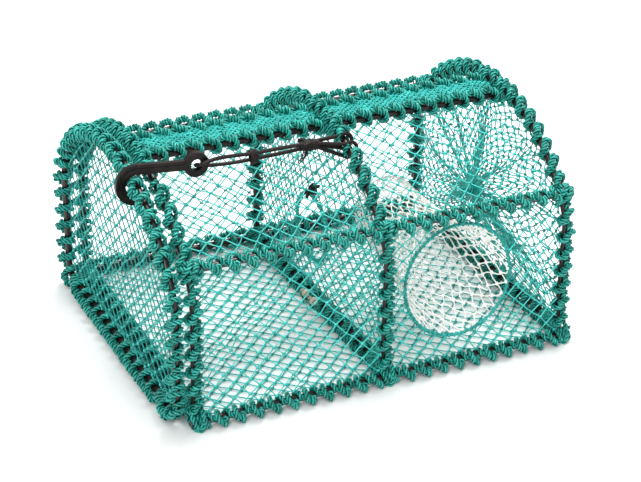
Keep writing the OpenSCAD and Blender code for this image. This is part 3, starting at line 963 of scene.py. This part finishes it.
# The cord's strands from the centre hoop to the hook's eye and back, in millimetres from that hoop
STRAND_OUT = [(-40, -71, 252), (-74, -71.5, 253.5), (-112, -71, 253)]
CORD_LOOP = [(-112, -71, 253), (-135, -72, 255), (-155, -75, 257), (-168, -77, 256), (-174, -76, 253.5),
             (-178, -70, 251), (-174, -64, 248.5), (-168, -63, 246), (-155, -64, 244.5), (-135, -67, 244.5),
             (-112, -69, 245.5)]
STRAND_BACK = [(-112, -69, 245.5), (-74, -68.5, 246), (-40, -69, 248)]


def from_hoop(points):
    return np.array(points) * MM + np.array([CENTRE_X, 0, 0])


def shock_cord():
    """Doubled elastic cord: a loop from its tie through the hook's eye, and two strands on to its knot."""
    parts = (("cord_loop", CORD_LOOP, ["shock_cord"], "cord_middle", "cord_end"),
             ("cord_strand_upper", STRAND_OUT, ["cord_strands"], "cord", "cord_middle"),
             ("cord_strand_lower", STRAND_BACK, [], "cord", "cord_middle"))
    for name, route, replaced, near, far in parts:
        line = resample(smooth_line(from_hoop(route), 12), 1.5 * MM)
        mesh = Mesh()
        tube(mesh, line, CORD_R, 10)
        piece = mesh.build(name, BRAID, None, replaced)
        ends = sorted((line[0], line[-1], line[len(line) // 2]), key=lambda p: -p[0])
        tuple(ends[0])
        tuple(ends[-1])
        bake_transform(piece)


def cord_tie():
    """Thin cord whipped round both strands halfway."""
    low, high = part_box("cord_tie")
    centre = (low + high) / 2
    t = np.linspace(0, 5, 101)[:, None]
    wide, tall = (high.y - low.y) / 2 - 1.2 * MM, (high.z - low.z) / 2 - 1.2 * MM
    line = (np.array([low.x + 0.5 * MM, centre.y, centre.z]) + t * np.array([1.5 * MM, 0, 0])
            + np.cos(2 * math.pi * t) * np.array([0, wide * 0.72, 0])
            + np.sin(2 * math.pi * t) * np.array([0, 0, tall]))
    mesh = Mesh()
    tube(mesh, line, 1.25 * MM, 7, True)
    for end in ((3, -6, 3), (-4, -5, -6)):
        tail = smooth_line([np.array(centre), np.array(centre) + np.array(end) * MM * 0.6,
                            np.array(centre) + np.array(end) * MM * 1.3], 6)
        tube(mesh, tail, 1.1 * MM, 7, True)
    mesh.build("cord_whipping", BRAID, "cord_middle", ["cord_tie"])


def cord_knot():
    """Bunched knot where both strands meet, with its frayed ends."""
    low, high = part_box("cord_knot")
    centre = np.array((low + high) / 2)
    reach = (high.x - low.x) / 2
    mesh = Mesh()
    for phase, size in ((0.0, 5.2), (2.1, 4.6), (4.2, 5.0)):
        t = np.linspace(0, 1, 60)[:, None]
        turn = 2 * math.pi * 2.2 * t + phase
        swell = (size * (0.55 + 0.45 * np.sin(math.pi * t))) * MM
        line = centre + np.concatenate([reach * (2 * t - 1), swell * np.cos(turn), swell * np.sin(turn)], 1)
        tube(mesh, line, CORD_R, 8, True)
    for k in range(9):
        start = centre + np.array([-reach * (0.2 + 0.07 * k), -3 * MM, -3 * MM])
        spread = rng.normal(0, 1, 3) * (3, 2, 2)
        tail = smooth_line([start, start + (np.array([-4, -3, -5]) + spread * 0.5) * MM,
                            start + (np.array([-8, -4, -9]) + spread) * MM], 6)
        tube(mesh, tail, 0.45 * MM, 5, True)
    for side in (-1, 1):
        tail = smooth_line([centre + (0, side * 3 * MM, 2 * MM), centre + (-6 * MM, side * 7 * MM, 5 * MM),
                            centre + (-11 * MM, side * 8 * MM, 3 * MM)], 6)
        tube(mesh, tail, CORD_R * 0.9, 8, True)
    mesh.build("cord_bunch", BRAID, "cord", ["cord_knot"])


def cord_loops():
    """Two turns of the cord round the centre hoop."""
    hoop = np.array([CENTRE_X, 0.0, 0.0])
    mesh = Mesh()
    for shift in (-6.5 * MM, 6.5 * MM):
        y = HOOK_Y + shift
        z = CROWN_Z + math.sqrt(CROWN_R ** 2 - y ** 2)
        angle = np.radians(np.linspace(125, -125, 11))
        loop = np.stack([9 * MM * np.cos(angle), np.full(11, y), z + 9 * MM * np.sin(angle)], 1) + hoop
        start = hoop + (-38 * MM, HOOK_Y + shift / 2, 252 * MM)
        finish = hoop + (-38 * MM, HOOK_Y + shift / 2, 248 * MM)
        line = resample(smooth_line(np.concatenate([[start], loop, [finish]]), 8), 1.5 * MM)
        tube(mesh, line, CORD_R, 10, True)
    mesh.build("cord_turns", BRAID, "cord", ["cord_loops"])


def parlour_tie():
    """Short length of black cord bunched at the top of the parlour ring."""
    low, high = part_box("parlour_tie")
    centre = np.array((low + high) / 2)
    size = np.array((high - low) / 2) * (1.6, 1.0, 0.9)
    mesh = Mesh()
    for k in range(4):
        t = np.linspace(0, 1, 36)[:, None]
        turn = 2 * math.pi * (t + k / 4)
        wave = np.concatenate([0.6 * np.cos(turn), 0.75 * np.sin(turn + k), 0.8 * np.sin(2 * turn + k)], 1)
        tube(mesh, centre + wave * size, 2.1 * MM, 7, True)
    for end in ((-9, -5, -8), (-7, 6, -6), (8, -5, 6)):
        halfway = centre + np.array(end) * 0.5 * MM + (-2 * MM, 0, 0)
        tail = smooth_line([centre, halfway, centre + np.array(end) * MM], 6)
        tube(mesh, tail, 1.9 * MM, 7, True)
    mesh.build("parlour_tie_cord", BRAID, "hoop_centre", ["parlour_tie"])


def bait_ties():
    """Two small twine knots on the centre hoop's bottom bar."""
    mesh = Mesh()
    for y in (4 * MM, -17 * MM):
        centre = np.array([CENTRE_X - 11 * MM, y, FOOT_Z + 4 * MM])
        coil_r = 3.6 * MM
        t = np.linspace(0, 3, 60)[:, None]
        turn = 2 * math.pi * t
        rise = 1.6 * MM * (t - 1.5)
        line = centre + np.concatenate([coil_r * np.cos(turn), rise, coil_r * np.sin(turn)], 1)
        tube(mesh, line, 1.5 * MM, 7, True)
        tail = smooth_line([centre, centre + np.array([-3, 2, 5]) * MM,
                            centre + np.array([-7, 1, 4]) * MM], 6)
        tube(mesh, tail, 1.0 * MM, 6, True)
    mesh.build("bait_ties", TAN, "hoop_centre")


# ---------- making it ----------

def dress_cad_nodes():
    """Coated rods and a plastic hook, its edges slightly rounded."""
    for name, node in frame["nodes"].items():
        material = PLASTIC if name == "hook" else ROD
        node.data.materials.clear()
        node.data.materials.append(material)
    bevel = frame["nodes"]["hook"].modifiers.new("rounded", "BEVEL")
    bevel.width = 0.9 * MM
    bevel.segments = 3
    bevel.limit_method = "ANGLE"
    bevel.angle_limit = math.radians(35)


def ropes():
    """All the rope bound round the rods."""
    for name, x in (("left", LEFT_X), ("centre", CENTRE_X), ("right", RIGHT_X)):
        body = "hoop_" + name
        cage_hoop_rope(body + "_binding", x, body)
        crossings(body + "_crossings", x, body)
    hinges = [((DOOR_X, s * HINGE_Y, FOOT_Z), CROSSING_GAP) for s in (1, -1)]
    hoop_rope("door_binding", DOOR_X, "door", hinges, ["door_rope"], 0.12)
    for side, s in (("front", -1), ("back", 1)):
        mirror = np.array([s, 1.0])
        rail_rope("ground_rail_" + side, GROUND * mirror, "base", (0, s, 0.5))
        rail_rope("waist_rail_" + side, WAIST * mirror, "waist_rails", (0, s, 0.6))
        rail_rope("top_rail_" + side, TOP * mirror, "top_rails", (0, s * 0.2, 1))
    foot_bindings()
    door_hinges()


def studio():
    """Pale floor, soft lights and an even white surround."""
    bpy.ops.mesh.primitive_plane_add(size=8, location=(0, 0, -0.4 * MM))
    floor = bpy.context.object
    floor.name = "floor"
    m = Nodes("studio_floor", 0.7, 0.2)
    tone = m.noise(m.coordinates("Object", (1.0, 1.0, 1.0)), 3.0, 2.0)
    m.colour(m.ramp(tone, [(0.3, (0.93, 0.93, 0.93)), (0.7, (0.96, 0.96, 0.96))]))
    floor.data.materials.append(m.material)
    world = bpy.data.worlds.new("surround")
    world.use_nodes = True
    world.node_tree.nodes["Background"].inputs["Color"].default_value = (1.0, 1.0, 1.0, 1.0)
    world.node_tree.nodes["Background"].inputs["Strength"].default_value = 0.7
    bpy.context.scene.world = world
    lamps = (("key", (0.5, 0.7, 3.0), 1.4, 100), ("fill", (-1.4, -1.8, 2.2), 1.6, 44))
    for name, place, size, power in lamps:
        lamp = bpy.data.lights.new(name, "AREA")
        lamp.energy = power
        lamp.size = size
        holder = bpy.data.objects.new(name, lamp)
        holder.location = place
        holder.rotation_mode = "QUATERNION"
        holder.rotation_quaternion = (-Vector(place)).to_track_quat("-Z", "Y")
        bpy.context.scene.collection.objects.link(holder)
    bpy.context.scene.view_settings.view_transform = "Standard"


def camera():
    """Camera at the photograph's angle: round the cage, above it, and slightly rolled."""
    azimuth, elevation, roll = (math.radians(a) for a in (-26.1, 27.8, 1.12))
    target = Vector((0.035, 0.026, 0.073))
    distance = 2.2
    back = Vector((math.sin(azimuth) * math.cos(elevation), -math.cos(azimuth) * math.cos(elevation),
                   math.sin(elevation)))
    data = bpy.data.cameras.new("camera")
    data.lens = 104.66
    data.sensor_width = 36
    holder = bpy.data.objects.new("camera", data)
    holder.location = target + back * distance
    holder.rotation_mode = "QUATERNION"
    holder.rotation_quaternion = (-back).to_track_quat("-Z", "Y") @ Quaternion((0, 0, 1), roll)
    bpy.context.scene.collection.objects.link(holder)
    bpy.context.scene.camera = holder


camera()
shock_cord()
cord_tie()
cord_knot()
cord_loops()
parlour_tie()
bait_ties()
dress_cad_nodes()
ropes()
side_nets()
roof_nets()
floor_netting()
top_netting()
door_netting()
partition()
gathered_end()
entrance()
studio()
